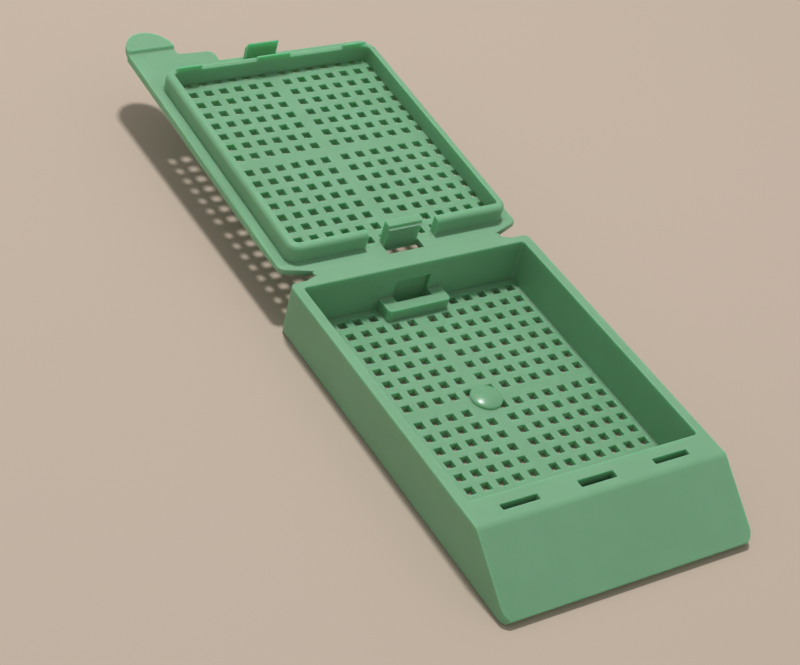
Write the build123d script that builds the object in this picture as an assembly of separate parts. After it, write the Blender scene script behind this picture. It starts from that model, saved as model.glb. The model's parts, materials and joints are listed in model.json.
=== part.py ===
from build123d import *
import math
import os

# Histology tissue cassette: one acetal moulding, a perforated tray with a sloped writing
# face, and a perforated snap lid that swings on a thin living hinge along the tray's far end.
# Frame: the centre of the tray's underside is the origin, +Y points at the hinge, +Z is up.
# The lid is modelled swung right open, as the moulding lies on a bench.
# Millimetres throughout.

# ---- tray, overall ----
tray_length = 41.0        # toe of the writing face to the outside of the hinge wall
tray_width = 28.4         # outside of one side wall to the outside of the other
tray_height = 5.8         # bench to rim
floor_thick = 0.8
side_wall = 1.1
end_wall = 0.95           # hinge wall
hinge_corner = 0.7        # upright corners beside the hinge, seen from above
toe_corner = 1.2          # corners of the writing face, seen from above
bottom_round = 0.4        # edge that the tray stands on
chamber_length = 30.05    # hinge wall to ledge, inside
chamber_corner = 0.35

# ---- ledge and writing face ----
ledge_depth = 3.05        # flat top between the chamber and the writing face
toe_height = 0.8          # where the writing face ends; its panel is cut square there
toe_round = 0.2           # edge between the writing face and the cut end
brow_round = 1.1          # soft edge between ledge and writing face
shell_thick = 1.0         # ledge, writing face and the walls of the hollow below them
latch_slot_length = 4.1
latch_slot_width = 0.85
side_slot_width = 0.68
side_slot_spacing = 8.6   # middle slot to each outer slot
slot_setback = 1.65       # chamber to the middle of the slots
slot_corner = 0.15

# ---- perforations, shared by the tray floor and the lid ----
hole_pitch = 1.8
hole_size = 0.95
hole_columns = 14
hole_rows = 16
cross_bar = 0.63          # extra width of the solid cross through the middle of the grid

# ---- gate pad in the middle of the floor ----
gate_radius = 1.65
gate_height = 0.25
gate_crown = 0.35

# ---- keeper for the lid's rear hook, against the hinge wall ----
keeper_width = 7.4
keeper_reach = 2.15       # hinge wall to the front of the bar
keeper_bar = 1.2
keeper_height = 1.3       # above the floor
keeper_edge = 0.45        # upright corners of the bar
pocket_depth = 0.5        # how far the pocket enters the hinge wall
pocket_height = 3.1       # above the floor

# ---- living hinge ----
hinge_reach = 0.7         # outside of the hinge wall to the fold line
web_width = 0.5           # thin strip, measured across the fold
web_thick = 0.3
web_taper = 0.8           # run of the lid's taper beside the web, for each mm it thins
notch_length = 3.1        # tray's side to the end of the fold line
notch_slope = 21.0        # degrees, from the fold line to each side of a notch
flange_thick = 0.8
open_tilt = 3.0           # degrees that the open lid stays above flat

# ---- lid ----
lid_side_step = 0.05      # closed lid's edge inside the tray's side
lid_front_step = 0.7      # closed lid's far edge short of the brow
lid_thick = 0.85
lid_corner = 1.1
lid_heel = 0.8            # corner beside each hinge notch
seat_gap = 0.06           # closed lid to rim
lid_grid_shift = 0.075    # middle of the lid's grid, further from the fold than the floor's

# ---- lid skirt, which drops inside the chamber when the lid is shut ----
skirt_side_gap = 0.13     # skirt to each side wall
skirt_hinge_gap = 0.15    # skirt to the hinge wall
skirt_ledge_gap = 0.3     # skirt to the ledge
skirt_thick = 0.9
skirt_height = 1.9
skirt_corner = 1.3
skirt_opening = 8.2       # break in the skirt around the rear hook
pad_height = 2.5          # raised wedges on the far side of the skirt
pad_land = 0.15           # flat crest of a wedge
pad_length = 2.95
pad_inset = 1.3           # side of the skirt to a corner wedge

# ---- rear hook ----
hook_width = 4.0
hook_thick = 0.93
hook_height = 2.55
nose_reach = 0.26
nose_lip = 0.06           # upright edge at the nose
nose_root = 2.04          # underside of the nose, at the lug
nose_slope = 0.06         # fall of the nose to its edge, above and below
nose_height = 0.2         # underside to top, at the lug
window_margin = 0.1       # window beside the hook, each end

# ---- latch tongue on the far border ----
tongue_thick = 0.55
tongue_end_gap = 0.15     # to each end of its slot
tongue_height = 2.3
tongue_land = 0.12        # flat crest of the tongue
barb = 0.09
barb_gap = 0.1            # underside of the ledge to the barb, with the lid shut

# ---- thumb tab and the ear beside it ----
tab_width = 5.45
tab_reach = 2.8           # far edge to the step
tip_reach = 3.0           # step to the end of the rounded tip
tip_rise = 0.4            # step in the tab, towards the tray's side
step_run = 0.15           # length of the step's slope
ear_width = 4.2
ear_reach = 1.8
ear_corner = 0.9

# ---- how far a cutting shape passes the surface that it cuts ----
over = 1.0

# ---- places worked out from the sizes above ----
toe_y = -tray_length / 2
wall_outer_y = tray_length / 2
wall_inner_y = wall_outer_y - end_wall
ledge_y = wall_inner_y - chamber_length
brow_y = ledge_y - ledge_depth
writing_slope = math.atan2(tray_height - toe_height, brow_y - toe_y)
toe_foot_y = toe_y + toe_height * math.tan(writing_slope)
chamber_y = (wall_inner_y + ledge_y) / 2
chamber_width = tray_width - 2 * side_wall
slot_y = ledge_y - slot_setback
fold_y = wall_outer_y + hinge_reach
fold_z = tray_height + seat_gap / 2
hinge_length = tray_width - 2 * notch_length
lid_width = tray_width - 2 * lid_side_step
lid_length = fold_y - brow_y - lid_front_step
grid_to_fold = fold_y - chamber_y + lid_grid_shift
inner_face = -seat_gap / 2          # lid's inner face, seen from the fold line
skirt_near = fold_y - wall_inner_y + skirt_hinge_gap
skirt_far = fold_y - ledge_y - skirt_ledge_gap
skirt_width = chamber_width - 2 * skirt_side_gap
tongue_place = fold_y - slot_y      # fold line to the middle of the latch tongue


def slab(x_range, y_range, z_range):
    """A square-edged block between three pairs of limits."""
    size = [high - low for low, high in (x_range, y_range, z_range)]
    middle = [(high + low) / 2 for low, high in (x_range, y_range, z_range)]
    return Pos(*middle) * Box(*size)


def across(outline, width):
    """Extrude a side view (y, z) outline to a width that is centred on the middle plane."""
    face = make_face(Plane.YZ * Polyline(*outline, close=True))
    return extrude(face, amount=width / 2, both=True)


def upright(outline, z_low, z_high):
    """Extrude a plan view face between two heights."""
    return Pos(0, 0, z_low) * extrude(outline, amount=z_high - z_low)


def grid_line(count):
    """Centres of the holes along one direction, with the wider bar in the middle."""
    centres = []
    for index in range(count):
        offset = (index - (count - 1) / 2) * hole_pitch
        centres.append(offset + math.copysign(cross_bar / 2, offset))
    return centres


def hole_grid(y_middle, z_low, z_high, skip=()):
    """The grid of square perforations as one set of prisms to cut away."""
    columns = grid_line(hole_columns)
    rows = grid_line(hole_rows)
    places = [
        (x, y_middle + y)
        for i, x in enumerate(columns)
        for j, y in enumerate(rows)
        if (i, j) not in skip
    ]
    squares = Sketch() + [Pos(x, y) * Rectangle(hole_size, hole_size) for x, y in places]
    return upright(squares, z_low, z_high)


# ---------------------------------------------------------------- tray
def tray_block():
    """Outer form of the tray: a wedge-ended block with soft corners."""
    side = Plane.YZ * Polyline(
        (wall_outer_y, 0),
        (wall_outer_y, tray_height),
        (brow_y, tray_height),
        (toe_y, toe_height),
        (toe_foot_y, 0),
        close=True,
    )
    block = extrude(make_face(side), amount=tray_width / 2, both=True)
    brow = block.edges().filter_by(Axis.X).sort_by_distance((0, brow_y, tray_height))[0]
    block = fillet(brow, brow_round)
    toe = block.edges().filter_by(Axis.X).sort_by_distance((0, toe_y, toe_height))[0]
    block = fillet(toe, toe_round)
    plan = Rectangle(tray_width, tray_length)
    plan = fillet(plan.vertices().group_by(Axis.Y)[-1], hinge_corner)
    plan = fillet(plan.vertices().group_by(Axis.Y)[0], toe_corner)
    block = block & upright(plan, 0, tray_height)
    foot = block.faces().sort_by(Axis.Z)[0].edges()
    return fillet(foot.sort_by(Axis.Y)[1:], bottom_round)


def writing_hollow():
    """Open space below the ledge and the writing face."""
    lowered = shell_thick / math.cos(writing_slope)
    top = tray_height - shell_thick
    brow_inside = brow_y + (lowered - shell_thick) / math.tan(writing_slope)
    toe_inside = toe_y + (lowered - toe_height) / math.tan(writing_slope)
    outline = [
        (ledge_y - shell_thick, -over),
        (ledge_y - shell_thick, top),
        (brow_inside, top),
        (toe_inside, 0),
        (toe_inside, -over),
    ]
    return across(outline, tray_width - 2 * shell_thick)


def ledge_slots():
    """Latch slot in the middle of the ledge and a slot to each side of it."""
    slots = (
        (-side_slot_spacing, side_slot_width),
        (0, latch_slot_width),
        (side_slot_spacing, side_slot_width),
    )
    cut = Part()
    for x, width in slots:
        slot = Pos(x, slot_y) * RectangleRounded(latch_slot_length, width, slot_corner)
        cut += upright(slot, tray_height - 2 * shell_thick, tray_height + over)
    return cut


def keeper():
    """Low bridge on the floor that stands off the hinge wall."""
    bridge = slab(
        (-keeper_width / 2, keeper_width / 2),
        (wall_inner_y - keeper_reach, wall_inner_y + end_wall / 2),
        (floor_thick / 2, floor_thick + keeper_height),
    )
    front = bridge.edges().filter_by(Axis.Z).group_by(Axis.Y)[0]
    return fillet(front, keeper_edge)


def keeper_opening():
    """Way down through the floor behind the bar, and the pocket that it forms in the wall."""
    half = hook_width / 2 + window_margin
    opening = slab(
        (-half, half),
        (wall_inner_y - keeper_reach + keeper_bar, wall_inner_y + pocket_depth),
        (-over, floor_thick + pocket_height),
    )
    return opening


def gate_pad():
    """Round pad with a low crown, left in the middle of the floor by the moulding gate."""
    sphere = (gate_radius**2 + gate_crown**2) / (2 * gate_crown)
    top = floor_thick + gate_height
    crown = Pos(0, chamber_y, top + gate_crown - sphere) * Sphere(sphere)
    drum = Pos(0, chamber_y, top / 2 + gate_crown / 2) * Cylinder(gate_radius, top + gate_crown)
    return crown & drum


def hinge_flange():
    """Lip outside the hinge wall that carries the web, thinned on its underside."""
    web_edge = fold_y - web_width / 2
    spread = (web_edge - wall_outer_y) / math.tan(math.radians(notch_slope))
    root = wall_outer_y - end_wall / 2
    half = hinge_length / 2
    plan = Polyline(
        (-half, web_edge),
        (-half - spread, wall_outer_y),
        (-half - spread, root),
        (half + spread, root),
        (half + spread, wall_outer_y),
        (half, web_edge),
        close=True,
    )
    low = tray_height - flange_thick
    side = [
        (root, low),
        (wall_outer_y, low),
        (web_edge, tray_height - web_thick),
        (web_edge, tray_height),
        (root, tray_height),
    ]
    return upright(make_face(plan), low, tray_height) & across(side, tray_width)


def base_tray():
    """The tray with its floor grid, ledge, writing face, keeper and gate pad."""
    tray = tray_block()
    chamber = Pos(0, chamber_y) * RectangleRounded(chamber_width, chamber_length, chamber_corner)
    tray -= upright(chamber, floor_thick, tray_height + over)
    tray -= writing_hollow()
    tray -= ledge_slots()
    gate_hole = (hole_columns // 2 - 1, hole_rows // 2 - 1)
    tray -= hole_grid(chamber_y, -over, floor_thick + over, skip=(gate_hole,))
    tray += hinge_flange()
    tray += keeper()
    tray -= keeper_opening()
    tray += gate_pad()
    return tray


# ---------------------------------------------------------------- lid, flat, seen from the fold line
def lid_outline():
    """Plan of the lid: notched at the hinge, with an ear and the thumb tab at the far left."""
    half = lid_width / 2
    near = web_width / 2
    heel = near + (half - hinge_length / 2) * math.tan(math.radians(notch_slope))
    tab_right = -half + tab_width
    ear_right = tab_right + ear_width
    ear_end = lid_length + ear_reach
    step = lid_length + tab_reach
    plate = Polyline(
        (-hinge_length / 2, near),
        (-half, heel),
        (-half, lid_length),
        (half, lid_length),
        (half, heel),
        (hinge_length / 2, near),
        close=True,
    )
    plate = make_face(plate)
    corners = plate.vertices()
    heels = corners.sort_by_distance((-half, heel))[:1] + corners.sort_by_distance((half, heel))[:1]
    plate = fillet(heels, lid_heel)
    plate = fillet(plate.vertices().sort_by_distance((half, lid_length))[:1], lid_corner)
    ear = Pos((tab_right + ear_right) / 2, (lid_length + ear_end) / 2 - lid_corner)
    ear = ear * Rectangle(ear_width, ear_reach + 2 * lid_corner)
    ear = fillet(ear.vertices().sort_by_distance((ear_right, ear_end))[:1], ear_corner)
    tab = Pos(-half + tab_width / 2, (lid_length + step) / 2) * Rectangle(tab_width, tab_reach)
    tip = Pos(-half + tab_width / 2, step) * Ellipse(tab_width / 2, tip_reach)
    tip = tip & (Pos(-half + tab_width / 2, step + tab_width / 2) * Rectangle(tab_width, tab_width))
    return plate + ear + tab + tip


def lid_section():
    """Side view of the lid's plate, thinned at the web and stepped at the thumb tab."""
    near = web_width / 2
    outer_face = inner_face - lid_thick
    step = lid_length + tab_reach
    end = step + tip_reach
    thinned = (lid_thick - web_thick) * web_taper
    return [
        (near, inner_face),
        (step, inner_face),
        (step + step_run, inner_face + tip_rise),
        (end, inner_face + tip_rise),
        (end, outer_face + tip_rise),
        (step + step_run, outer_face + tip_rise),
        (step, outer_face),
        (near + thinned, outer_face),
        (near, inner_face - web_thick),
    ]


def lid_plate():
    """Perforated plate of the lid with the window beside the rear hook."""
    below = inner_face - lid_thick - over
    above = inner_face + tip_rise + over
    plate = upright(lid_outline(), below, above) & across(lid_section(), lid_width)
    plate -= hole_grid(grid_to_fold, below, above)
    half = hook_width / 2 + window_margin
    window = slab((-half, half), (web_width, skirt_near), (below, above))
    return plate - window


def lid_skirt():
    """Low wall that drops inside the chamber, broken around the rear hook."""
    length = skirt_far - skirt_near
    middle = (skirt_far + skirt_near) / 2
    outer = Pos(0, middle) * RectangleRounded(skirt_width, length, skirt_corner)
    inner_corner = max(skirt_corner - skirt_thick, 0.1)
    inner_width = skirt_width - 2 * skirt_thick
    inner_length = length - 2 * skirt_thick
    inner = Pos(0, middle) * RectangleRounded(inner_width, inner_length, inner_corner)
    ring = outer - inner
    skirt = upright(ring, inner_face, inner_face + skirt_height)
    opening = slab(
        (-skirt_opening / 2, skirt_opening / 2),
        (skirt_near - over, skirt_near + skirt_thick + over),
        (inner_face - over, inner_face + skirt_height + over),
    )
    skirt -= opening
    wedge = [
        (skirt_far - skirt_thick, inner_face),
        (skirt_far - skirt_thick, inner_face + pad_height),
        (skirt_far - skirt_thick + pad_land, inner_face + pad_height),
        (skirt_far, inner_face + skirt_height),
        (skirt_far, inner_face),
    ]
    corner_place = skirt_width / 2 - pad_inset - pad_length / 2
    for x, length in ((-corner_place, pad_length), (0, latch_slot_length), (corner_place, pad_length)):
        skirt += Pos(x, 0, 0) * across(wedge, length)
    return skirt


def rear_hook():
    """Lug beside the window whose nose snaps into the pocket in the hinge wall."""
    foot = inner_face - lid_thick
    back = skirt_near + hook_thick
    root = inner_face + nose_root
    edge = root + nose_slope
    outline = [
        (skirt_near, foot),
        (back, foot),
        (back, inner_face + hook_height),
        (skirt_near, inner_face + hook_height),
        (skirt_near, root + nose_height),
        (skirt_near - nose_reach, edge + nose_lip),
        (skirt_near - nose_reach, edge),
        (skirt_near, root),
    ]
    return across(outline, hook_width)


def latch_tongue():
    """Tongue on the far border that passes through the middle slot of the ledge."""
    near = tongue_place - tongue_thick / 2
    far = tongue_place + tongue_thick / 2
    top = inner_face + tongue_height
    under = inner_face + seat_gap + shell_thick + barb_gap
    outline = [
        (near, inner_face - lid_thick / 2),
        (far, inner_face - lid_thick / 2),
        (far, under),
        (far + barb, under + barb),
        (near + tongue_land, top),
        (near, top),
    ]
    return across(outline, latch_slot_length - 2 * tongue_end_gap)


def lid():
    """The lid, swung open to its resting tilt on the fold line."""
    flat = lid_plate() + lid_skirt() + rear_hook() + latch_tongue()
    return Pos(0, fold_y, fold_z) * Rot(open_tilt, 0, 0) * flat


# ---------------------------------------------------------------- hinge web
def living_hinge():
    """Thin strip that joins the flange to the lid, bent to the lid's resting tilt."""
    half = web_width / 2
    tilt = math.radians(open_tilt)

    def on_lid(y, z):
        beyond = y * math.cos(tilt) - z * math.sin(tilt)
        above = y * math.sin(tilt) + z * math.cos(tilt)
        return (fold_y + beyond, fold_z + above)

    outline = [
        (fold_y - half, tray_height - web_thick),
        (fold_y, tray_height - web_thick),
        on_lid(half, inner_face - web_thick),
        on_lid(half, inner_face),
        (fold_y, tray_height),
        (fold_y - half, tray_height),
    ]
    return across(outline, hinge_length)


os.makedirs("parts", exist_ok=True)
export_step(base_tray(), "parts/base_tray.step")
export_step(lid(), "parts/lid.step")
export_step(living_hinge(), "parts/living_hinge.step")
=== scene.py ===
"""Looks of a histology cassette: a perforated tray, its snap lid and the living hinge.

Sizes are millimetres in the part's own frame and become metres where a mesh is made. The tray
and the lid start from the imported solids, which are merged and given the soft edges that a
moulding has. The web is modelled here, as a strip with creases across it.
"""

import json
import logging
import math
from dataclasses import dataclass, field
from enum import Enum
from typing import Callable

import bmesh
import bpy
from bmesh.types import BMEdge, BMesh
from mathutils import Euler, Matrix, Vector

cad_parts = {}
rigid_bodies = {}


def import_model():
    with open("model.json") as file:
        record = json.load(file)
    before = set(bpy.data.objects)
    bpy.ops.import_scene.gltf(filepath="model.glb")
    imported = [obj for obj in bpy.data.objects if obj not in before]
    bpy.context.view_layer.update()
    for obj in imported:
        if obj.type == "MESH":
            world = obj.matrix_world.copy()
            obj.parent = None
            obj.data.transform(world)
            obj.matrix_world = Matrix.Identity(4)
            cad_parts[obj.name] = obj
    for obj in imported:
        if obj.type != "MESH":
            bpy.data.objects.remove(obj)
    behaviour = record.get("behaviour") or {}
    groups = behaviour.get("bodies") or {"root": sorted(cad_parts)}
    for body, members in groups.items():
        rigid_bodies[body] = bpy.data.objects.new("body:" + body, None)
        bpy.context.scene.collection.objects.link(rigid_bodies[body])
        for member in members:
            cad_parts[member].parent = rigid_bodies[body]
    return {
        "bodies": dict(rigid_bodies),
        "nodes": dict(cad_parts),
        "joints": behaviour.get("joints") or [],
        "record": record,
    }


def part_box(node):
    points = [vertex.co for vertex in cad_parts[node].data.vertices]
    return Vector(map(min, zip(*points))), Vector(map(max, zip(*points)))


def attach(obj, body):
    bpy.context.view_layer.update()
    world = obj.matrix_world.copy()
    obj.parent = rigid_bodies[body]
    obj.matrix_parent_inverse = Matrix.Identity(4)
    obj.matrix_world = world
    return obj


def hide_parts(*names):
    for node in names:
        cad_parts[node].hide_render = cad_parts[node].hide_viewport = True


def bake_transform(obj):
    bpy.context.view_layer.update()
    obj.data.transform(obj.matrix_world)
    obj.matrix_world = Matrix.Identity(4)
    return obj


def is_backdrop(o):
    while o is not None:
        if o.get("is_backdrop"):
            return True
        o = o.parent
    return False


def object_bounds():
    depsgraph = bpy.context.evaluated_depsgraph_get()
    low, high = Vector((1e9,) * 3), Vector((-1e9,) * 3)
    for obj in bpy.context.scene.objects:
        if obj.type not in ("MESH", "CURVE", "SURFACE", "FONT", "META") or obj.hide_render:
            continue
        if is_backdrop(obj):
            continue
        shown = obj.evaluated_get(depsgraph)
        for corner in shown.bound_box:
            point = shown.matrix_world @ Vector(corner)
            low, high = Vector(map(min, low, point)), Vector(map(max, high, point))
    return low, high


MM = 0.001
LOG = logging.getLogger("cassette")
Colour = tuple[float, float, float]
Point = tuple[float, float, float]

# Degrees by which the open lid rises from the fold line.
OPEN_TILT = 3.0
# Places of the colour sockets on a Mix node, where several sockets share one name.
MIX_FACTOR, MIX_FIRST, MIX_SECOND, MIX_RESULT = 0, 6, 7, 2


class Body(Enum):
    """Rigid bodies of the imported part."""

    TRAY = "tray"
    LID = "lid"


class Zone(Enum):
    """Kinds of moulded surface, in the order of a piece's material slots."""

    SATIN = 0
    WRITING = 1
    GATE = 2
    FOLD = 3


def linear(red: int, green: int, blue: int) -> Colour:
    """Turn an 8-bit display colour into the linear values that a shader takes.

    Args:
        red: Red from 0 to 255.
        green: Green from 0 to 255.
        blue: Blue from 0 to 255.

    Returns:
        The three linear values from 0 to 1.
    """

    def one(value: int) -> float:
        """Decode one channel of the sRGB curve."""
        share = value / 255
        return share / 12.92 if share <= 0.04045 else ((share + 0.055) / 1.055) ** 2.4

    return one(red), one(green), one(blue)


# ---------------------------------------------------------------- shared shader effects
class ShaderGroup:
    """A node group with named sockets that several materials share."""

    def __init__(self, name: str) -> None:
        """Make an empty group.

        Args:
            name: Name of the group.
        """
        self.tree = bpy.data.node_groups.new(name, "ShaderNodeTree")
        self.start = self.tree.nodes.new("NodeGroupInput")
        self.end = self.tree.nodes.new("NodeGroupOutput")

    def socket(self, name: str, kind: str, output: bool = False) -> bpy.types.NodeTreeInterfaceSocket:
        """Add a socket to the group's outside.

        Args:
            name: Name of the socket.
            kind: Float, Vector or Color.
            output: True for an output.

        Returns:
            The socket in the group's interface.
        """
        side = "OUTPUT" if output else "INPUT"
        return self.tree.interface.new_socket(name, in_out=side, socket_type=f"NodeSocket{kind}")

    def numbers(self, defaults: dict[str, float]) -> None:
        """Add a float input for each name, with the value that it starts with."""
        for name, default in defaults.items():
            self.socket(name, "Float").default_value = default

    def add(self, kind: str, **settings: object) -> bpy.types.Node:
        """Add a node and set its plain properties.

        Args:
            kind: Blender's node type without its ShaderNode prefix.
            **settings: Properties of the node.

        Returns:
            The node.
        """
        node = self.tree.nodes.new(f"ShaderNode{kind}")
        for key, value in settings.items():
            setattr(node, key, value)
        return node

    def join(self, source: bpy.types.NodeSocket, target: bpy.types.NodeSocket) -> None:
        """Link an output socket to an input socket."""
        self.tree.links.new(source, target)

    def noise(self, scale: bpy.types.NodeSocket, detail: float, roughness: float) -> bpy.types.Node:
        """Add a noise texture on the group's Place input.

        Args:
            scale: Socket that gives the pattern's scale.
            detail: Octaves of the noise.
            roughness: Weight of the finer octaves.

        Returns:
            The noise node.
        """
        node = self.add("TexNoise")
        node.inputs["Detail"].default_value = detail
        node.inputs["Roughness"].default_value = roughness
        self.join(self.start.outputs["Place"], node.inputs["Vector"])
        self.join(scale, node.inputs["Scale"])
        return node

    def maths(
        self, operation: str, first: bpy.types.NodeSocket, second: bpy.types.NodeSocket
    ) -> bpy.types.NodeSocket:
        """Add a maths node on two sockets.

        Args:
            operation: Blender's name of the operation.
            first: First value.
            second: Second value.

        Returns:
            The result's socket.
        """
        node = self.add("Math", operation=operation)
        self.join(first, node.inputs[0])
        self.join(second, node.inputs[1])
        return node.outputs["Value"]

    def spread(self, noise: bpy.types.Node, low: float, high: float, curve: str) -> bpy.types.Node:
        """Spread the middle values of a noise over a whole range.

        Args:
            noise: Noise node.
            low: Noise value that becomes the least.
            high: Noise value that becomes the most.
            curve: Blender's name of the interpolation.

        Returns:
            The range node.
        """
        node = self.add("MapRange", interpolation_type=curve)
        node.inputs["From Min"].default_value = low
        node.inputs["From Max"].default_value = high
        self.join(noise.outputs["Fac"], node.inputs["Value"])
        return node


def mould_grain_group() -> bpy.types.NodeTree:
    """Build the relief that a mould wall leaves: fine grain on a slow orange peel.

    Returns:
        A group from Place, scales and depths in millimetres to a Height.
    """
    group = ShaderGroup("mould_grain")
    group.socket("Place", "Vector")
    group.numbers({"Grain Scale": 9000.0, "Grain Depth": 0.002, "Peel Scale": 900.0, "Peel Depth": 0.004})
    group.socket("Height", "Float", output=True)
    inputs = group.start.outputs
    grain = group.noise(inputs["Grain Scale"], detail=3.0, roughness=0.6)
    peel = group.noise(inputs["Peel Scale"], detail=1.0, roughness=0.4)
    fine = group.maths("MULTIPLY", grain.outputs["Fac"], inputs["Grain Depth"])
    slow = group.maths("MULTIPLY", peel.outputs["Fac"], inputs["Peel Depth"])
    group.join(group.maths("ADD", fine, slow), group.end.inputs["Height"])
    return group.tree


def resin_shade_group() -> bpy.types.NodeTree:
    """Build the faint clouding of coloured resin.

    Returns:
        A group from Place, two colours, a scale and an amount to a Color.
    """
    group = ShaderGroup("resin_shade")
    group.socket("Place", "Vector")
    group.socket("Resin", "Color")
    group.socket("Cloud", "Color")
    group.numbers({"Cloud Scale": 160.0, "Cloud Amount": 0.3})
    group.socket("Color", "Color", output=True)
    inputs = group.start.outputs
    clouds = group.noise(inputs["Cloud Scale"], detail=3.0, roughness=0.55)
    steep = group.spread(clouds, low=0.35, high=0.65, curve="SMOOTHSTEP")
    mask = group.maths("MULTIPLY", steep.outputs["Result"], inputs["Cloud Amount"])
    mix = group.add("Mix", data_type="RGBA")
    group.join(mask, mix.inputs[MIX_FACTOR])
    group.join(inputs["Resin"], mix.inputs[MIX_FIRST])
    group.join(inputs["Cloud"], mix.inputs[MIX_SECOND])
    group.join(mix.outputs[MIX_RESULT], group.end.inputs["Color"])
    return group.tree


def handling_group() -> bpy.types.NodeTree:
    """Build the uneven gloss that handling and the mould's polish leave.

    Returns:
        A group from Place, a scale and two roughness limits to a Roughness.
    """
    group = ShaderGroup("handling")
    group.socket("Place", "Vector")
    group.numbers({"Patch Scale": 300.0, "Low": 0.35, "High": 0.5})
    group.socket("Roughness", "Float", output=True)
    inputs = group.start.outputs
    patches = group.noise(inputs["Patch Scale"], detail=4.0, roughness=0.6)
    polish = group.spread(patches, low=0.3, high=0.7, curve="LINEAR")
    group.join(inputs["Low"], polish.inputs["To Min"])
    group.join(inputs["High"], polish.inputs["To Max"])
    group.join(polish.outputs["Result"], group.end.inputs["Roughness"])
    return group.tree


@dataclass
class Effects:
    """The shader groups that all finishes share.

    Attributes:
        grain: Relief of the surface.
        resin: Clouding of the colour.
        handling: Unevenness of the gloss.
    """

    grain: bpy.types.NodeTree = field(default_factory=mould_grain_group)
    resin: bpy.types.NodeTree = field(default_factory=resin_shade_group)
    handling: bpy.types.NodeTree = field(default_factory=handling_group)


@dataclass(frozen=True)
class ResinFinish:
    """One surface finish of the mint acetal.

    Attributes:
        name: Name of the material.
        resin: Main colour.
        cloud: Colour that the resin clouds towards.
        cloud_amount: Largest share of the cloud colour.
        rough_low: Roughness of the smoothest patches.
        rough_high: Roughness of the dullest patches.
        grain_depth: Depth of the fine relief in millimetres.
        peel_depth: Depth of the slow relief in millimetres.
        glow: Subsurface weight.
        glow_reach: Depth that light travels in the resin, in millimetres, by colour.
        refraction: Refractive index of the resin.
    """

    name: str
    resin: Colour = linear(128, 179, 140)
    cloud: Colour = linear(121, 172, 132)
    cloud_amount: float = 0.5
    rough_low: float = 0.42
    rough_high: float = 0.52
    grain_depth: float = 0.0012
    peel_depth: float = 0.003
    glow: float = 1.0
    glow_reach: Colour = (0.4, 1.3, 0.85)
    refraction: float = 1.48

    def build(self, effects: Effects) -> bpy.types.Material:
        """Make the material.

        Args:
            effects: The shared shader groups.

        Returns:
            The material.
        """
        material = bpy.data.materials.new(self.name)
        material.use_nodes = True
        tree = material.node_tree
        shader = tree.nodes["Principled BSDF"]
        shader.inputs["IOR"].default_value = self.refraction
        shader.inputs["Subsurface Weight"].default_value = self.glow
        shader.inputs["Subsurface Scale"].default_value = MM
        shader.inputs["Subsurface Radius"].default_value = self.glow_reach
        place = tree.nodes.new("ShaderNodeTexCoord").outputs["Object"]
        shade = self._effect(tree, effects.resin, place)
        shade.inputs["Resin"].default_value = (*self.resin, 1.0)
        shade.inputs["Cloud"].default_value = (*self.cloud, 1.0)
        shade.inputs["Cloud Amount"].default_value = self.cloud_amount
        tree.links.new(shade.outputs["Color"], shader.inputs["Base Color"])
        polish = self._effect(tree, effects.handling, place)
        polish.inputs["Low"].default_value = self.rough_low
        polish.inputs["High"].default_value = self.rough_high
        tree.links.new(polish.outputs["Roughness"], shader.inputs["Roughness"])
        relief = self._effect(tree, effects.grain, place)
        relief.inputs["Grain Depth"].default_value = self.grain_depth
        relief.inputs["Peel Depth"].default_value = self.peel_depth
        bump = tree.nodes.new("ShaderNodeBump")
        bump.inputs["Distance"].default_value = MM
        tree.links.new(relief.outputs["Height"], bump.inputs["Height"])
        tree.links.new(bump.outputs["Normal"], shader.inputs["Normal"])
        return material

    @staticmethod
    def _effect(
        tree: bpy.types.NodeTree, group: bpy.types.NodeTree, place: bpy.types.NodeSocket
    ) -> bpy.types.Node:
        """Use a shared group in a material.

        Args:
            tree: Node tree of the material.
            group: The shared group.
            place: Socket that gives the piece's coordinates.

        Returns:
            The group's node.
        """
        node = tree.nodes.new("ShaderNodeGroup")
        node.node_tree = group
        tree.links.new(place, node.inputs["Place"])
        return node


SATIN = ResinFinish("acetal_satin")
WRITING = ResinFinish(
    "acetal_writing_face", rough_low=0.55, rough_high=0.62, grain_depth=0.004, peel_depth=0.001
)
GATE = ResinFinish("acetal_gate", rough_low=0.24, rough_high=0.3, grain_depth=0.0005, peel_depth=0.002)
# No light travels inside the strips by the fold, so that tray, web and lid look alike where they meet.
FOLD = ResinFinish("acetal_fold", glow=0.0)


# ---------------------------------------------------------------- mesh helpers
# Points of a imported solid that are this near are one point, in metres.
WELD = 0.002 * MM
# Faces that meet at less than this angle are one flat region, in degrees.
FLAT_ANGLE = 0.3
# Shortest edge that is worth keeping, in metres.
TINY = 0.0005 * MM
# A point this near to a cut lies on it, in metres.
ON_CUT = 0.001 * MM
# Faces that meet at less than this angle are shaded as one, in degrees.
SHADE_ANGLE = 38.0
# How strongly broad faces rule the shading of the soft edges beside them.
BROAD_WEIGHT = 80


@dataclass(frozen=True)
class SoftEdge:
    """A family of edges that share one radius.

    Attributes:
        radius: Radius in millimetres.
        segments: Steps around the edge.
        chosen: Test of an edge that says whether it belongs.
    """

    radius: float
    segments: int
    chosen: Callable[[BMEdge], bool]


def millimetres(point: Vector) -> Vector:
    """Turn a point in metres into millimetres."""
    return point / MM


def is_corner(edge: BMEdge, least: float = 35.0) -> bool:
    """Tell whether two faces meet sharply along an edge.

    Args:
        edge: Edge to test.
        least: Smallest angle, in degrees, that counts as sharp.

    Returns:
        True for a sharp edge.
    """
    return edge.is_manifold and edge.calc_face_angle(0.0) > math.radians(least)


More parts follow.
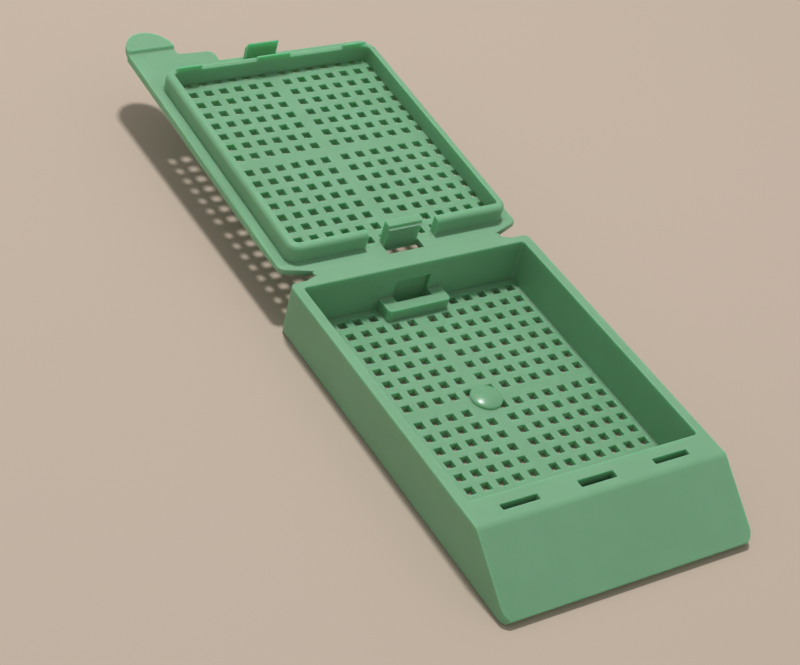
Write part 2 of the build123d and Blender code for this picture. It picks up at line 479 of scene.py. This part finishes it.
def merged_copy(node: bpy.types.Object) -> BMesh:
    """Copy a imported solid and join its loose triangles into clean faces.

    Args:
        node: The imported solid.

    Returns:
        A closed mesh with one face for each flat region.
    """
    mesh = bmesh.new()
    mesh.from_mesh(node.data)
    bmesh.ops.remove_doubles(mesh, verts=mesh.verts, dist=WELD)
    bmesh.ops.dissolve_limit(
        mesh,
        angle_limit=math.radians(FLAT_ANGLE),
        use_dissolve_boundaries=False,
        verts=mesh.verts,
        edges=mesh.edges,
    )
    return mesh


def soften(mesh: BMesh, families: list[SoftEdge]) -> None:
    """Round families of edges one after another and keep to the solid's own box.

    Args:
        mesh: Mesh to change.
        families: Edge families in the order in which they are rounded.
    """
    places = [vert.co.copy() for vert in mesh.verts]
    low = Vector(min(place[axis] for place in places) for axis in range(3))
    high = Vector(max(place[axis] for place in places) for axis in range(3))
    for family in families:
        edges = [edge for edge in mesh.edges if is_corner(edge) and family.chosen(edge)]
        bmesh.ops.bevel(
            mesh,
            geom=edges,
            offset=family.radius * MM,
            offset_type="OFFSET",
            segments=family.segments,
            profile=0.5,
            affect="EDGES",
            clamp_overlap=False,
            material=-1,
        )
    for vert in mesh.verts:
        vert.co = Vector(min(max(vert.co[axis], low[axis]), high[axis]) for axis in range(3))
    bmesh.ops.dissolve_degenerate(mesh, edges=mesh.edges, dist=TINY)


def cut_across(mesh: BMesh, place: Vector, facing: Vector) -> None:
    """Split the faces that cross a plane.

    Args:
        mesh: Mesh to change.
        place: Point on the plane, in metres.
        facing: Normal of the plane.
    """
    parts = [*mesh.verts, *mesh.edges, *mesh.faces]
    bmesh.ops.bisect_plane(mesh, geom=parts, dist=TINY, plane_co=place, plane_no=facing)


def clear_beyond(mesh: BMesh, place: Vector, facing: Vector) -> None:
    """Cut along a plane and join the flat faces beyond it.

    No seam of a flat face then runs slantwise into an edge that is rounded there.

    Args:
        mesh: Mesh to change.
        place: Point on the plane, in metres.
        facing: Normal of the plane, towards the side to clear.
    """
    cut_across(mesh, place, facing)
    seams = []
    for edge in mesh.edges:
        ends = [(vert.co - place).dot(facing) for vert in edge.verts]
        beyond = min(ends) > -ON_CUT and max(ends) > ON_CUT
        if beyond and edge.is_manifold and not is_corner(edge, FLAT_ANGLE):
            seams.append(edge)
    bmesh.ops.dissolve_edges(mesh, edges=seams, use_verts=False, use_face_split=False)


def finished_piece(name: str, mesh: BMesh, materials: list[bpy.types.Material]) -> bpy.types.Object:
    """Turn a bmesh into a smooth shaded object at the origin.

    Args:
        name: Name of the piece.
        mesh: The bmesh, which is freed.
        materials: Materials for the piece's slots.

    Returns:
        The object.
    """
    data = bpy.data.meshes.new(name)
    mesh.to_mesh(data)
    mesh.free()
    for material in materials:
        data.materials.append(material)
    data.shade_smooth()
    data.set_sharp_from_angle(angle=math.radians(SHADE_ANGLE))
    piece = bpy.data.objects.new(name, data)
    bpy.context.scene.collection.objects.link(piece)
    even = piece.modifiers.new("even_normals", "WEIGHTED_NORMAL")
    even.keep_sharp = True
    even.weight = BROAD_WEIGHT
    return piece


# ---------------------------------------------------------------- tray
@dataclass
class TrayShell:
    """The perforated tray with its ledge, writing face, keeper and gate pad.

    Attributes:
        node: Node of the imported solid.
        rim_radius: Radius around the top of the walls.
        edge_radius: Radius of all other edges.
        brow_y: Line where the writing face's finish starts.
        writing_rise: Least upward share of the writing face's normal.
        writing_lean: Least forward share of the writing face's normal.
        gate_place: Middle of the gate pad, across and along.
        gate_radius: Radius of the glossy spot on and around the pad.
        floor_top: Height just above the floor's top face.
        level_rise: Least upward share of the normal of a face that takes the fold's finish.
        fold_margin: Length of the lip by the web that stays sharp.
        fold_zone: Length of the strip that takes the web's finish.
        slot_line: Line along which the ledge's slots lie.
        slot_depth: Reach of the slots' edges before and behind that line.
        slot_reach: Reach of the slots' edges to either side.
        flatness: Distance at which a point counts as level with a face.
        hollow_back: Line behind the front hollow's mouth.
        latch_back: Line just before the back edge of the latch opening.
        toe_corner: Least distance from the middle, last line and greatest height of a corner of the toe.
        brow_corner: Least distance from the middle, first and last line and least height of a corner
            of the brow.
        rim: Height of the walls' top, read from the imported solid.
        flange_end: Line where the tray meets the web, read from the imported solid.
        zone_start: Line where the web's finish starts on the tray.
    """

    node: str = "base_tray"
    rim_radius: float = 0.14
    edge_radius: float = 0.07
    brow_y: float = -13.55
    writing_rise: float = 0.5
    writing_lean: float = 0.3
    gate_place: tuple[float, float] = (0.0, 4.525)
    gate_radius: float = 1.66
    floor_top: float = 0.85
    level_rise: float = 0.5
    fold_margin: float = 0.3
    fold_zone: float = 1.4
    slot_line: float = -12.15
    slot_depth: float = 0.5
    slot_reach: float = 11.0
    flatness: float = 0.01
    hollow_back: float = -11.4
    latch_back: float = 20.0
    toe_corner: tuple[float, float, float] = (13.3, -19.8, 1.0)
    brow_corner: tuple[float, float, float, float] = (14.0, -13.75, -13.05, 5.4)
    rim: float = field(init=False)
    flange_end: float = field(init=False)
    zone_start: float = field(init=False)

    def build(self, frame: dict, materials: list[bpy.types.Material]) -> bpy.types.Object:
        """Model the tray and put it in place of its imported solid.

        Args:
            materials: One material for each zone.

        Returns:
            The tray.
        """
        low, high = (millimetres(corner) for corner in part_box(self.node))
        self.rim = high.z
        self.flange_end = high.y
        self.zone_start = self.flange_end - self.fold_zone
        mesh = merged_copy(frame["nodes"][self.node])
        families = [
            SoftEdge(self.rim_radius, segments=3, chosen=self._on_rim),
            SoftEdge(self.edge_radius, segments=2, chosen=self._elsewhere),
        ]
        soften(mesh, families)
        cut_across(mesh, Vector((0.0, self.zone_start, 0.0)) * MM, Vector((0.0, 1.0, 0.0)))
        self._mark_zones(mesh)
        piece = finished_piece("tray_shell", mesh, materials)
        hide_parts(self.node)
        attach(piece, Body.TRAY.value)
        LOG.info("tray_shell: %d faces, %.1f mm long", len(piece.data.polygons), high.y - low.y)
        return piece

    def _near_fold(self, edge: BMEdge) -> bool:
        """Tell whether an edge touches the web, where tray and web run on smoothly."""
        return all(vert.co.y / MM > self.flange_end - self.fold_margin for vert in edge.verts)

    def _on_rim(self, edge: BMEdge) -> bool:
        """Tell whether an edge runs around the top of the walls.

        Args:
            edge: Edge to test.

        Returns:
            True for an edge of the rim, but not for those of the ledge's slots or beside the web.
        """
        points = [millimetres(vert.co) for vert in edge.verts]
        top = all(abs(point.z - self.rim) < self.flatness for point in points)
        by_slots = all(
            abs(point.y - self.slot_line) < self.slot_depth and abs(point.x) < self.slot_reach
            for point in points
        )
        return top and not by_slots and not self._near_fold(edge)

    def _by_thin_strip(self, edge: BMEdge) -> bool:
        """Tell whether an edge borders a strip of the underside that has no room for a radius.

        Args:
            edge: Edge to test.

        Returns:
            True for the front hollow's mouth, the toe's lower edge and the back of the latch opening.
        """
        points = [millimetres(vert.co) for vert in edge.verts]
        down = all(point.z < self.flatness for point in points)
        front = all(point.y < self.hollow_back for point in points)
        back = all(point.y > self.latch_back for point in points)
        return down and (front or back)

    def _in_toe_corner(self, edge: BMEdge) -> bool:
        """Tell whether an edge is one of the short ones at the toe's lower corners.

        Args:
            edge: Edge to test.

        Returns:
            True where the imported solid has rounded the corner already.
        """
        across, along, up = self.toe_corner
        points = [millimetres(vert.co) for vert in edge.verts]
        return all(abs(point.x) > across and point.y < along and point.z < up for point in points)

    def _in_brow_corner(self, edge: BMEdge) -> bool:
        """Tell whether an edge is one of the short ones where rim, side wall and writing face meet.

        Args:
            edge: Edge to test.

        Returns:
            True where a radius would fold over.
        """
        across, front, back, up = self.brow_corner
        points = [millimetres(vert.co) for vert in edge.verts]
        return all(abs(point.x) > across and front < point.y < back and point.z > up for point in points)

    def _elsewhere(self, edge: BMEdge) -> bool:
        """Tell whether an edge is away from the web and has room for a radius."""
        cramped = self._by_thin_strip(edge) or self._in_toe_corner(edge) or self._in_brow_corner(edge)
        return not cramped and not self._near_fold(edge)

    def _mark_zones(self, mesh: BMesh) -> None:
        """Give the writing face, the gate pad and the strip by the web their own finish.

        Args:
            mesh: Mesh of the tray, in metres.
        """
        gate = Vector((*self.gate_place, 0.0))
        for face in mesh.faces:
            middle = millimetres(face.calc_center_median())
            flat = Vector((middle.x, middle.y, 0.0))
            sloped = face.normal.z > self.writing_rise and face.normal.y < -self.writing_lean
            if middle.y < self.brow_y and sloped:
                face.material_index = Zone.WRITING.value
            elif (flat - gate).length < self.gate_radius and middle.z > self.floor_top:
                face.material_index = Zone.GATE.value
            elif middle.y > self.zone_start and face.normal.z > self.level_rise:
                face.material_index = Zone.FOLD.value


# ---------------------------------------------------------------- lid
@dataclass
class SnapLid:
    """The perforated lid with its skirt, wedges, rear hook, latch tongue and thumb tab.

    Heights and lines are those of the lid laid level, measured from the fold line.

    Attributes:
        node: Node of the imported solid.
        tilt: Degrees by which the open lid rises from the fold line.
        thick: Thickness of the plate, from the inner face to the outer one.
        seat: Depth of the inner face below the fold line.
        skirt_height: Height of the skirt's crest above the inner face.
        skirt_size: Outer width and length of the skirt.
        skirt_middle: Line through the middle of the skirt.
        skirt_corner: Outer radius of the skirt's corners.
        skirt_thick: Thickness of the skirt.
        step_reach: First and last line of the step in the thumb tab.
        outer_radius: Radius around the outer face.
        inner_radius: Radius around the inner face.
        skirt_radius: Radius along the outside of the skirt's crest.
        step_radius: Radius along the step in the tab.
        edge_radius: Radius of all other edges.
        fold_margin: Length of the lip by the web that stays sharp.
        fold_zone: Length of the strip that takes the web's finish.
        clear_line: Distance from the middle beyond which flat faces have no seams.
        flatness: Distance at which a point counts as level with a face.
        inner_reach: Depth below the fold line down to which a point is on the inner side.
        fold: Point on the fold line, read from the joint.
    """

    node: str = "lid"
    tilt: float = OPEN_TILT
    thick: float = 0.85
    seat: float = 0.03
    skirt_height: float = 1.9
    skirt_size: tuple[float, float] = (25.94, 29.6)
    skirt_middle: float = 16.6
    skirt_corner: float = 1.3
    skirt_thick: float = 0.9
    step_reach: tuple[float, float] = (36.5, 37.35)
    outer_radius: float = 0.45
    inner_radius: float = 0.18
    skirt_radius: float = 0.5
    step_radius: float = 0.19
    edge_radius: float = 0.07
    fold_margin: float = 0.75
    fold_zone: float = 1.8
    clear_line: float = 13.4
    flatness: float = 0.02
    inner_reach: float = 0.06
    fold: Vector = field(init=False)

    def build(self, frame: dict, materials: list[bpy.types.Material]) -> bpy.types.Object:
        """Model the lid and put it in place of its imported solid.

        Args:
            materials: One material for each zone.

        Returns:
            The lid.
        """
        self.fold = millimetres(Vector(frame["joints"][0]["pos_m"]))
        mesh = merged_copy(frame["nodes"][self.node])
        for side in (-1.0, 1.0):
            clear_beyond(mesh, Vector((side * self.clear_line, 0.0, 0.0)) * MM, Vector((side, 0.0, 0.0)))
        families = [
            SoftEdge(self.skirt_radius, segments=5, chosen=self._on_skirt_crest),
            SoftEdge(self.outer_radius, segments=4, chosen=self._around_outer_face),
            SoftEdge(self.step_radius, segments=3, chosen=self._on_tab_step),
            SoftEdge(self.inner_radius, segments=3, chosen=self._around_inner_face),
            SoftEdge(self.edge_radius, segments=2, chosen=self._elsewhere),
        ]
        soften(mesh, families)
        self._mark_zones(mesh)
        piece = finished_piece("snap_lid", mesh, materials)
        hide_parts(self.node)
        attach(piece, Body.LID.value)
        LOG.info("snap_lid: %d faces", len(piece.data.polygons))
        return piece

    def _flat(self, point: Vector) -> Vector:
        """Give a point's place on the lid laid level.

        Args:
            point: Point of the open lid, in metres.

        Returns:
            The place from the fold line, in millimetres.
        """
        local = millimetres(point) - Vector((0.0, self.fold.y, self.fold.z))
        local.rotate(Euler((math.radians(-self.tilt), 0.0, 0.0)))
        return local

    def _around_outer_face(self, edge: BMEdge) -> bool:
        """Tell whether an edge runs around the lid's outer face."""
        return self._around_face(edge, -self.thick)

    def _around_inner_face(self, edge: BMEdge) -> bool:
        """Tell whether an edge runs around the lid's inner face."""
        return self._around_face(edge, 0.0)

    def _around_face(self, edge: BMEdge, height: float) -> bool:
        """Tell whether an edge runs around a broad face of the lid.

        Args:
            edge: Edge to test.
            height: Height of the face above the inner face, in millimetres.

        Returns:
            True for an edge of the lid's outline, away from the web and the tab's step.
        """
        points = [self._flat(vert.co) for vert in edge.verts]
        flush = all(self._level(point, height) for point in points)
        return flush and self._on_border(points) and self._elsewhere(edge)

    def _in_tab_step(self, edge: BMEdge) -> bool:
        """Tell whether an edge touches the step in the thumb tab."""
        near, far = self.step_reach
        return any(near < self._flat(vert.co).y < far for vert in edge.verts)

    def _on_tab_step(self, edge: BMEdge) -> bool:
        """Tell whether an edge runs along the step in the thumb tab.

        Args:
            edge: Edge to test.

        Returns:
            True for an edge across the tab on its inner side.
        """
        points = [self._flat(vert.co) for vert in edge.verts]
        inside = all(point.z > -self.inner_reach for point in points)
        across = abs(points[0].x - points[1].x) > self.outer_radius
        return inside and across and self._in_tab_step(edge)

    def _on_skirt_crest(self, edge: BMEdge) -> bool:
        """Tell whether an edge runs along the skirt's crest.

        Args:
            edge: Edge to test.

        Returns:
            True for an edge in the outer third of the crest.
        """
        points = [self._flat(vert.co) for vert in edge.verts]
        flush = all(self._level(point, self.skirt_height) for point in points)
        return flush and self._beyond_skirt((points[0] + points[1]) / 2) > -self.skirt_thick / 3

    def _level(self, point: Vector, height: float) -> bool:
        """Tell whether a point is at a height above the lid's inner face."""
        return abs(point.z + self.seat - height) < self.flatness

    def _on_border(self, points: list[Vector]) -> bool:
        """Tell whether all points of an edge are well outside the skirt, near the lid's outline."""
        return all(self._beyond_skirt(point) > self.skirt_thick / 2 for point in points)

    def _beyond_skirt(self, point: Vector) -> float:
        """Measure how far a point is outside the skirt's outer face.

        Args:
            point: Place on the lid laid level, in millimetres.

        Returns:
            The distance in millimetres, negative within the skirt.
        """
        width, length = self.skirt_size
        over_x = abs(point.x) - width / 2 + self.skirt_corner
        over_y = abs(point.y - self.skirt_middle) - length / 2 + self.skirt_corner
        corner = math.hypot(max(over_x, 0.0), max(over_y, 0.0))
        return corner + min(max(over_x, over_y), 0.0) - self.skirt_corner

    def _mark_zones(self, mesh: BMesh) -> None:
        """Give the strip beside the web the web's own finish.

        Args:
            mesh: Mesh of the lid, in metres.
        """
        facing = Vector((0.0, 1.0, 0.0))
        facing.rotate(Euler((math.radians(self.tilt), 0.0, 0.0)))
        start = self.fold + facing * self.fold_zone
        cut_across(mesh, Vector((0.0, start.y, start.z)) * MM, facing)
        for face in mesh.faces:
            middle = self._flat(face.calc_center_median())
            if middle.y < self.fold_zone and middle.z < self.seat:
                face.material_index = Zone.FOLD.value

    def _elsewhere(self, edge: BMEdge) -> bool:
        """Tell whether an edge is away from the web and from the step in the tab."""
        away = any(self._flat(vert.co).y > self.fold_margin for vert in edge.verts)
        return away and not self._in_tab_step(edge)


# ---------------------------------------------------------------- web
@dataclass
class HingeWeb:
    """The thin strip that bends as the lid swings.

    Attributes:
        node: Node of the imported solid.
        tilt: Degrees by which the strip rises behind the fold line.
        creases: Cuts across the strip, along which it can bend.
        waist: Depth by which the strip is thinner in its middle.
    """

    node: str = "living_hinge"
    tilt: float = OPEN_TILT
    creases: int = 11
    waist: float = 0.05

    def build(self, frame: dict, materials: list[bpy.types.Material]) -> bpy.types.Object:
        """Model the web between the two bodies.

        Args:
            materials: One material for each zone.

        Returns:
            The web.
        """
        low, high = (millimetres(corner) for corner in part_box(self.node))
        fold = millimetres(Vector(frame["joints"][0]["pos_m"]))
        slope = math.tan(math.radians(self.tilt))
        top = high.z - (high.y - fold.y) * slope
        size = Vector((high.x - low.x, high.y - low.y, top - low.z))
        middle = Vector((0.0, (high.y + low.y) / 2, (top + low.z) / 2))
        mesh = bmesh.new()
        bmesh.ops.create_cube(mesh, size=1.0)
        bmesh.ops.scale(mesh, vec=size, verts=mesh.verts)
        along = [edge for edge in mesh.edges if abs(edge.verts[0].co.y - edge.verts[1].co.y) > size.y / 2]
        bmesh.ops.subdivide_edges(mesh, edges=along, cuts=self.creases, use_grid_fill=True)
        bmesh.ops.translate(mesh, vec=middle, verts=mesh.verts)
        for vert in mesh.verts:
            share = 2 * (vert.co.y - middle.y) / size.y
            if vert.co.z < middle.z:
                vert.co.z += self.waist * (1 - share * share)
            vert.co.z += max(0.0, vert.co.y - fold.y) * slope
        bmesh.ops.scale(mesh, vec=Vector((MM, MM, MM)), verts=mesh.verts)
        bmesh.ops.recalc_face_normals(mesh, faces=mesh.faces)
        for face in mesh.faces:
            face.material_index = Zone.FOLD.value
        piece = finished_piece("hinge_web", mesh, materials)
        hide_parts(self.node)
        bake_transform(piece)
        LOG.info("hinge_web: %d faces", len(piece.data.polygons))
        return piece


# ---------------------------------------------------------------- stage
@dataclass(frozen=True)
class DeskFinish:
    """Plain pale desk top with a faint mottle.

    Attributes:
        pale: Lighter colour.
        shade: Darker colour.
        mottle_scale: Scale of the noise between the two.
        roughness: Roughness of the whole top.
    """

    pale: Colour = linear(199, 180, 164)
    shade: Colour = linear(194, 177, 159)
    mottle_scale: float = 14.0
    roughness: float = 0.7

    def build(self) -> bpy.types.Material:
        """Make the material.

        Returns:
            The material.
        """
        material = bpy.data.materials.new("desk_top")
        material.use_nodes = True
        tree = material.node_tree
        shader = tree.nodes["Principled BSDF"]
        shader.inputs["Roughness"].default_value = self.roughness
        place = tree.nodes.new("ShaderNodeTexCoord")
        noise = tree.nodes.new("ShaderNodeTexNoise")
        noise.inputs["Scale"].default_value = self.mottle_scale
        mix = tree.nodes.new("ShaderNodeMix")
        mix.data_type = "RGBA"
        mix.inputs[MIX_FIRST].default_value = (*self.pale, 1.0)
        mix.inputs[MIX_SECOND].default_value = (*self.shade, 1.0)
        tree.links.new(place.outputs["Object"], noise.inputs["Vector"])
        tree.links.new(noise.outputs["Fac"], mix.inputs[MIX_FACTOR])
        tree.links.new(mix.outputs[MIX_RESULT], shader.inputs["Base Color"])
        return material


@dataclass
class Studio:
    """Floor, overhead lamp and world light.

    Attributes:
        floor_size: Side of the square floor in millimetres.
        floor_cells: Cells of the floor along each side.
        key_place: Place of the overhead lamp in millimetres.
        key_width: Diameter of the overhead lamp in millimetres, which sets how soft the shadows are.
        key_power: Power of the overhead lamp in watts.
        fill: Brightness of the white world on every side.
    """

    floor_size: float = 1400.0
    floor_cells: int = 4
    key_place: Point = (23.0, 147.0, 470.0)
    key_width: float = 52.0
    key_power: float = 1.43
    fill: float = 0.39

    def build(self, focus: Vector) -> None:
        """Set up the stage.

        Args:
            focus: Point that the lamp faces, in metres.
        """
        self._lay_floor()
        self._hang_lamp(focus)
        self._light_room()

    def _lay_floor(self) -> None:
        """Lay the desk top that the cassette stands on."""
        cells = self.floor_cells
        mesh = bmesh.new()
        bmesh.ops.create_grid(mesh, x_segments=cells, y_segments=cells, size=self.floor_size / 2 * MM)
        data = bpy.data.meshes.new("desk")
        mesh.to_mesh(data)
        mesh.free()
        data.materials.append(DeskFinish().build())
        desk = bpy.data.objects.new("desk", data)
        bpy.context.scene.collection.objects.link(desk)
        desk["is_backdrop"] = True

    def _hang_lamp(self, focus: Vector) -> None:
        """Hang the round overhead lamp.

        Args:
            focus: Point that the lamp faces, in metres.
        """
        light = bpy.data.lights.new("key_lamp", "AREA")
        light.shape = "DISK"
        light.size = self.key_width * MM
        light.energy = self.key_power
        lamp = bpy.data.objects.new("key_lamp", light)
        lamp.location = Vector(self.key_place) * MM
        lamp.rotation_euler = (focus - lamp.location).to_track_quat("-Z", "Y").to_euler()
        bpy.context.scene.collection.objects.link(lamp)

    def _light_room(self) -> None:
        """Light the scene evenly from all sides with a white world."""
        world = bpy.data.worlds.new("room")
        world.use_nodes = True
        background = world.node_tree.nodes["Background"]
        background.inputs["Color"].default_value = (1.0, 1.0, 1.0, 1.0)
        background.inputs["Strength"].default_value = self.fill
        bpy.context.scene.world = world


@dataclass
class ViewCamera:
    """A hand-held view from above the tray's left front corner.

    Attributes:
        aim: Point on the desk in the middle of the picture, in millimetres.
        distance: Lens to that point in millimetres.
        azimuth: Degrees that the camera stands round from -Y towards -X.
        elevation: Degrees that the camera stands above the desk.
        roll: Degrees that the camera leans about its own axis.
        lens: Focal length in millimetres.
        film: Width of the camera's frame in millimetres.
        clip: Nearest and farthest distance that is rendered, in metres.
    """

    aim: Point = (-2.6, 16.37, 0.0)
    distance: float = 189.6
    azimuth: float = 40.65
    elevation: float = 38.85
    roll: float = 15.15
    lens: float = 85.4
    film: float = 36.0
    clip: tuple[float, float] = (0.01, 5.0)

    def build(self) -> None:
        """Make the camera and use it for the scene."""
        data = bpy.data.cameras.new("view_camera")
        data.sensor_width = self.film
        data.lens = self.lens
        data.clip_start, data.clip_end = self.clip
        camera = bpy.data.objects.new("view_camera", data)
        turn = math.radians(self.azimuth)
        rise = math.radians(self.elevation)
        reach = math.cos(rise)
        back = Vector((-math.sin(turn) * reach, -math.cos(turn) * reach, math.sin(rise)))
        camera.location = (Vector(self.aim) + back * self.distance) * MM
        level = (-back).to_track_quat("-Z", "Y").to_matrix()
        lean = Euler((0.0, 0.0, math.radians(self.roll))).to_matrix()
        camera.rotation_euler = (level @ lean).to_euler()
        bpy.context.scene.collection.objects.link(camera)
        bpy.context.scene.camera = camera


def main() -> None:
    """Build the stage, with the lamp aimed at the middle of the imported box, and the three pieces."""
    logging.basicConfig(level=logging.INFO, format="%(name)s %(message)s")
    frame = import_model()
    cad_low, cad_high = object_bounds()
    bpy.context.scene.view_settings.view_transform = "Standard"
    ViewCamera().build()
    Studio().build((cad_low + cad_high) / 2)
    effects = Effects()
    materials = [finish.build(effects) for finish in (SATIN, WRITING, GATE, FOLD)]
    for part in (TrayShell(), SnapLid(), HingeWeb()):
        part.build(frame, materials)


if __name__ == "__main__":
    main()
